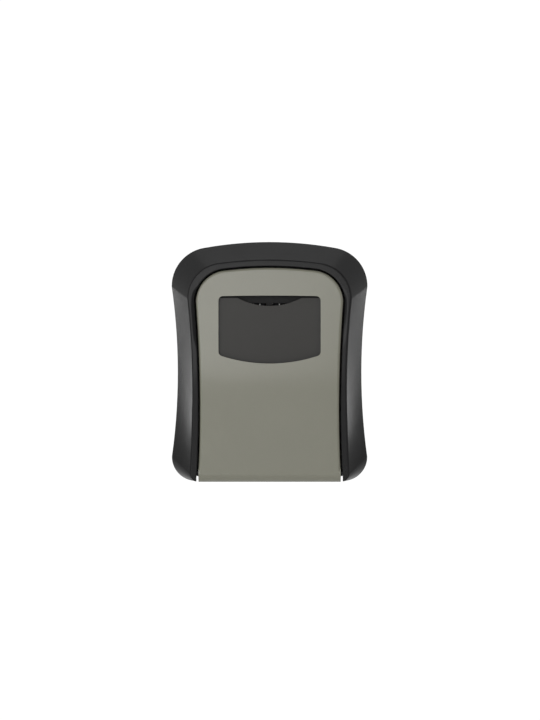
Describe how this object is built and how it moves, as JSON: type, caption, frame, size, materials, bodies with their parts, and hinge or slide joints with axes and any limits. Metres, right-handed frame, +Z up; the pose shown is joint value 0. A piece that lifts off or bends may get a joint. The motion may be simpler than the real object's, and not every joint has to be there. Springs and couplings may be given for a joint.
{
  "type": "key lock box",
  "caption": "Wall-mounted key box with a dark moulded surround, hinged grey door, sliding shutter over number dials and a sprung latch.",
  "frame": {"origin": "centre of the flat rear face, midway between the wall-screw holes", "axes": "+X to the right seen from the front, +Y into the wall, +Z up"},
  "size_m": [0.095, 0.04, 0.1161],
  "materials": {
    "surround_plastic": "fine-grained dark moulded plastic",
    "door_paint": "satin warm grey paint on die-cast aluminium",
    "shutter_plastic": "satin dark plastic",
    "case_metal": "dark powder coat on die-cast aluminium",
    "cover_steel": "black coated pressed steel",
    "frame_plastic": "black plastic",
    "button_plastic": "grey plastic",
    "lever_plastic": "light grey plastic",
    "dial_black": "black moulded dial with white digits",
    "brass_sleeve": "turned brass",
    "plated_steel": "zinc-plated pressed steel",
    "spring_steel": "spring steel",
    "pin_steel": "ground steel rod",
    "screw_steel": "plated screws"
  },
  "bodies": {
    "case": {"rear_housing": "case_metal", "surround": "surround_plastic", "surround_screws": "screw_steel", "hinge_pin": "pin_steel", "strike_plate": "plated_steel", "strike_screws": "screw_steel"},
    "door": {"door_front": "door_paint", "dial_frame": "frame_plastic", "frame_screws": "screw_steel", "dial_detent_spring": "spring_steel", "detent_rivets": "screw_steel", "latch_spring_left": "spring_steel", "latch_spring_right": "spring_steel", "back_cover": "cover_steel", "back_cover_screws": "screw_steel"},
    "shutter": {"shutter": "shutter_plastic"},
    "latch": {"latch_plate": "plated_steel", "latch_button": "button_plastic", "latch_screws": "screw_steel"},
    "carriage": {"spindle": "pin_steel", "sleeve_1": "brass_sleeve", "sleeve_2": "brass_sleeve", "sleeve_3": "brass_sleeve", "sleeve_4": "brass_sleeve", "spindle_clips": "spring_steel", "change_lever": "lever_plastic"},
    "dial_1": {"dial_1": "dial_black"},
    "dial_2": {"dial_2": "dial_black"},
    "dial_3": {"dial_3": "dial_black"},
    "dial_4": {"dial_4": "dial_black"}
  },
  "joints": [
    {"name": "door_swing", "type": "hinge", "parent": "case", "child": "door", "pos_m": [0, -0.028, -0.0535], "axis": [1, 0, 0], "range_deg": [0, 100]},
    {"name": "shutter_slide", "type": "hinge", "parent": "door", "child": "shutter", "pos_m": [0, 0.18, 0.014], "axis": [1, 0, 0], "range_deg": [0, 7.1]},
    {"name": "latch_slide", "type": "slide", "parent": "door", "child": "latch", "axis": [0, 0, -1], "range_m": [0, 0.0038], "stiffness_N_per_m": 300, "springref_m": -0.004, "deforming": ["latch_spring_left", "latch_spring_right"]},
    {"name": "change_slide", "type": "slide", "parent": "door", "child": "carriage", "axis": [-1, 0, 0], "range_m": [0, 0.0017]},
    {"name": "dial_1_turn", "type": "hinge", "parent": "door", "child": "dial_1", "pos_m": [0, -0.0282, 0.023], "axis": [1, 0, 0], "continuous": true, "deforming": ["dial_detent_spring"]},
    {"name": "dial_2_turn", "type": "hinge", "parent": "door", "child": "dial_2", "pos_m": [0, -0.0282, 0.023], "axis": [1, 0, 0], "continuous": true},
    {"name": "dial_3_turn", "type": "hinge", "parent": "door", "child": "dial_3", "pos_m": [0, -0.0282, 0.023], "axis": [1, 0, 0], "continuous": true},
    {"name": "dial_4_turn", "type": "hinge", "parent": "door", "child": "dial_4", "pos_m": [0, -0.0282, 0.023], "axis": [1, 0, 0], "continuous": true}
  ]
}
